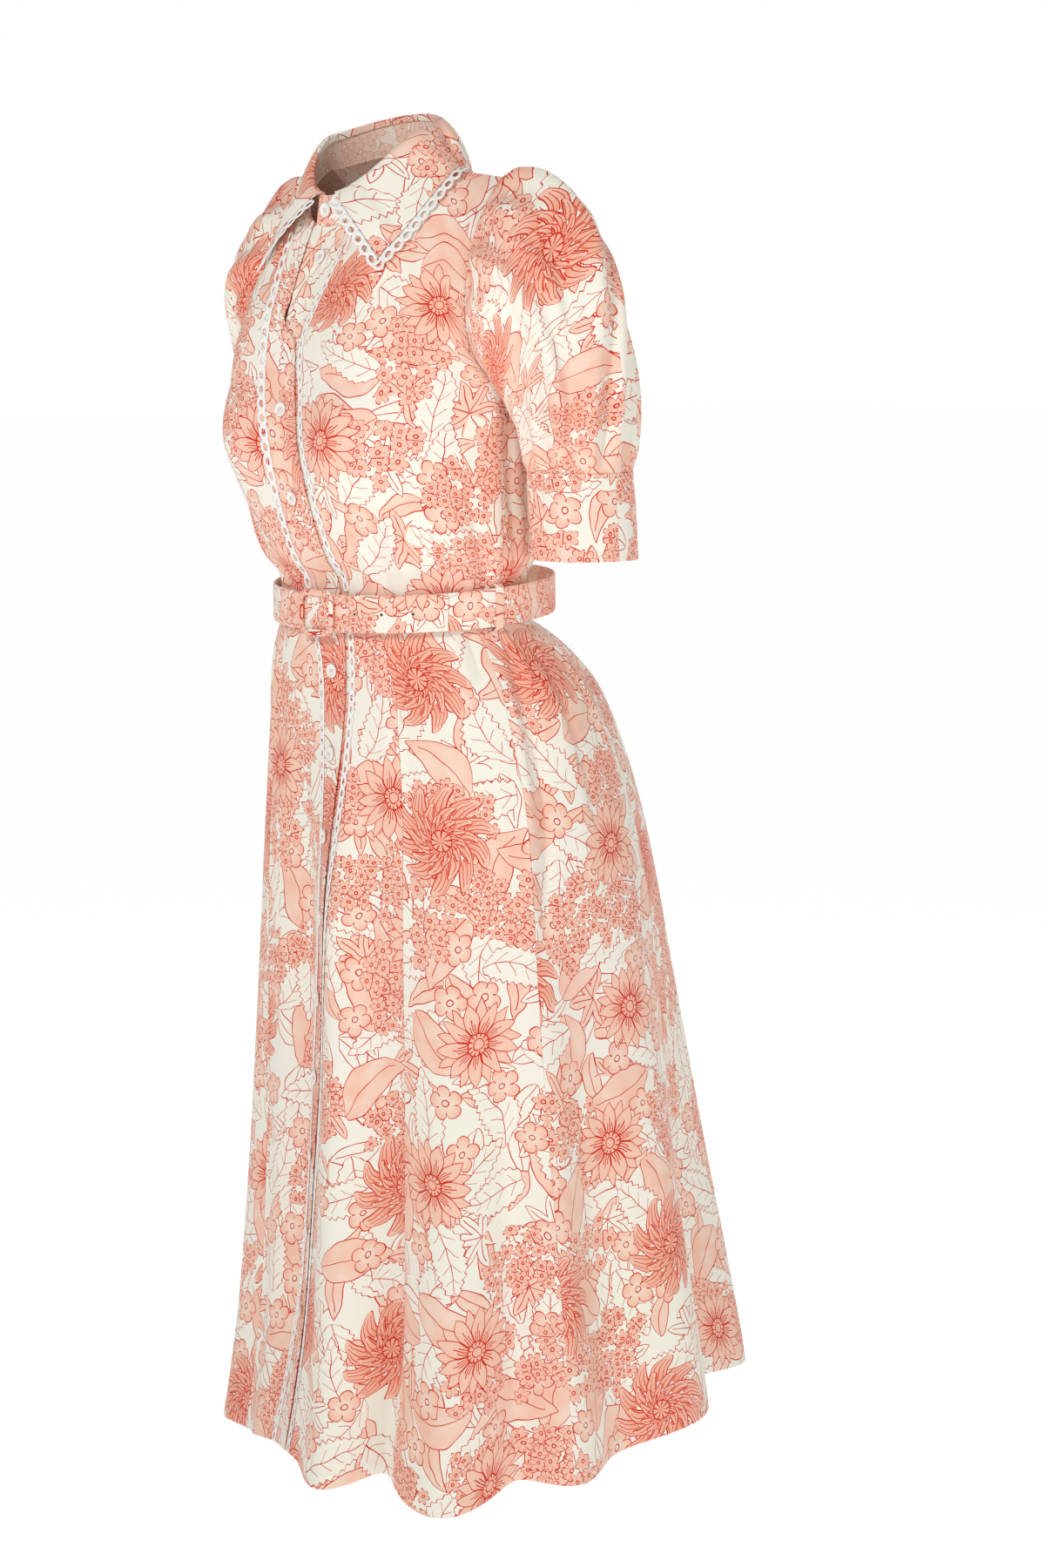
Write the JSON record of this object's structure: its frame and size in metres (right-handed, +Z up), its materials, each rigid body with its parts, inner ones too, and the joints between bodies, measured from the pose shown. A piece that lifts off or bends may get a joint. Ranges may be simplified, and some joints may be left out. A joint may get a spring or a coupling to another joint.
{
  "type": "maxi dress",
  "caption": "Button-front maxi dress with shirt collar, lace edging, puff sleeves on fitted cuffs, a self-fabric belt and an A-line skirt of gores in a floral print.",
  "frame": {"origin": "midway between the shoulders at the height where the neck meets the shoulder seams, where the dress hangs from its wearer", "axes": "+Z up along the wearer, -Y to the front of the dress, +X to the wearer's left"},
  "size_m": [0.5306, 0.5524, 1.3537],
  "materials": {
    "cloth": "soft printed viscose crepe, cream ground with salmon and coral flowers",
    "lace": "white cotton lace",
    "button": "white four-hole buttons, slight sheen"
  },
  "bodies": {
    "root": {"bodice_front_left": "cloth", "bodice_front_right": "cloth", "button_band_left": "cloth", "placket_right": "cloth", "bodice_back": "cloth", "sleeve_left": "cloth", "cuff_left": "cloth", "sleeve_right": "cloth", "cuff_right": "cloth", "collar_stand": "cloth", "collar_leaf_left": "cloth", "collar_leaf_right": "cloth", "collar_lace_left": "lace", "collar_lace_right": "lace", "skirt_front_left": "cloth", "skirt_side_front_left": "cloth", "skirt_side_back_left": "cloth", "skirt_front_right": "cloth", "skirt_side_front_right": "cloth", "skirt_side_back_right": "cloth", "skirt_back": "cloth", "skirt_button_band_left": "cloth", "skirt_placket_right": "cloth", "placket_lace_right": "lace", "placket_lace_left": "lace", "skirt_lace_right": "lace", "skirt_lace_left": "lace", "belt": "cloth", "belt_tail": "cloth", "belt_loop_left": "cloth", "belt_loop_right": "cloth", "belt_buckle": "cloth", "button_stand": "button", "button_neck": "button", "button_bodice_1": "button", "button_bodice_2": "button", "button_skirt_1": "button", "button_skirt_2": "button", "button_skirt_3": "button", "button_skirt_4": "button", "button_skirt_5": "button", "button_skirt_6": "button", "button_skirt_7": "button", "button_skirt_8": "button", "button_skirt_9": "button"}
  },
  "joints": []
}
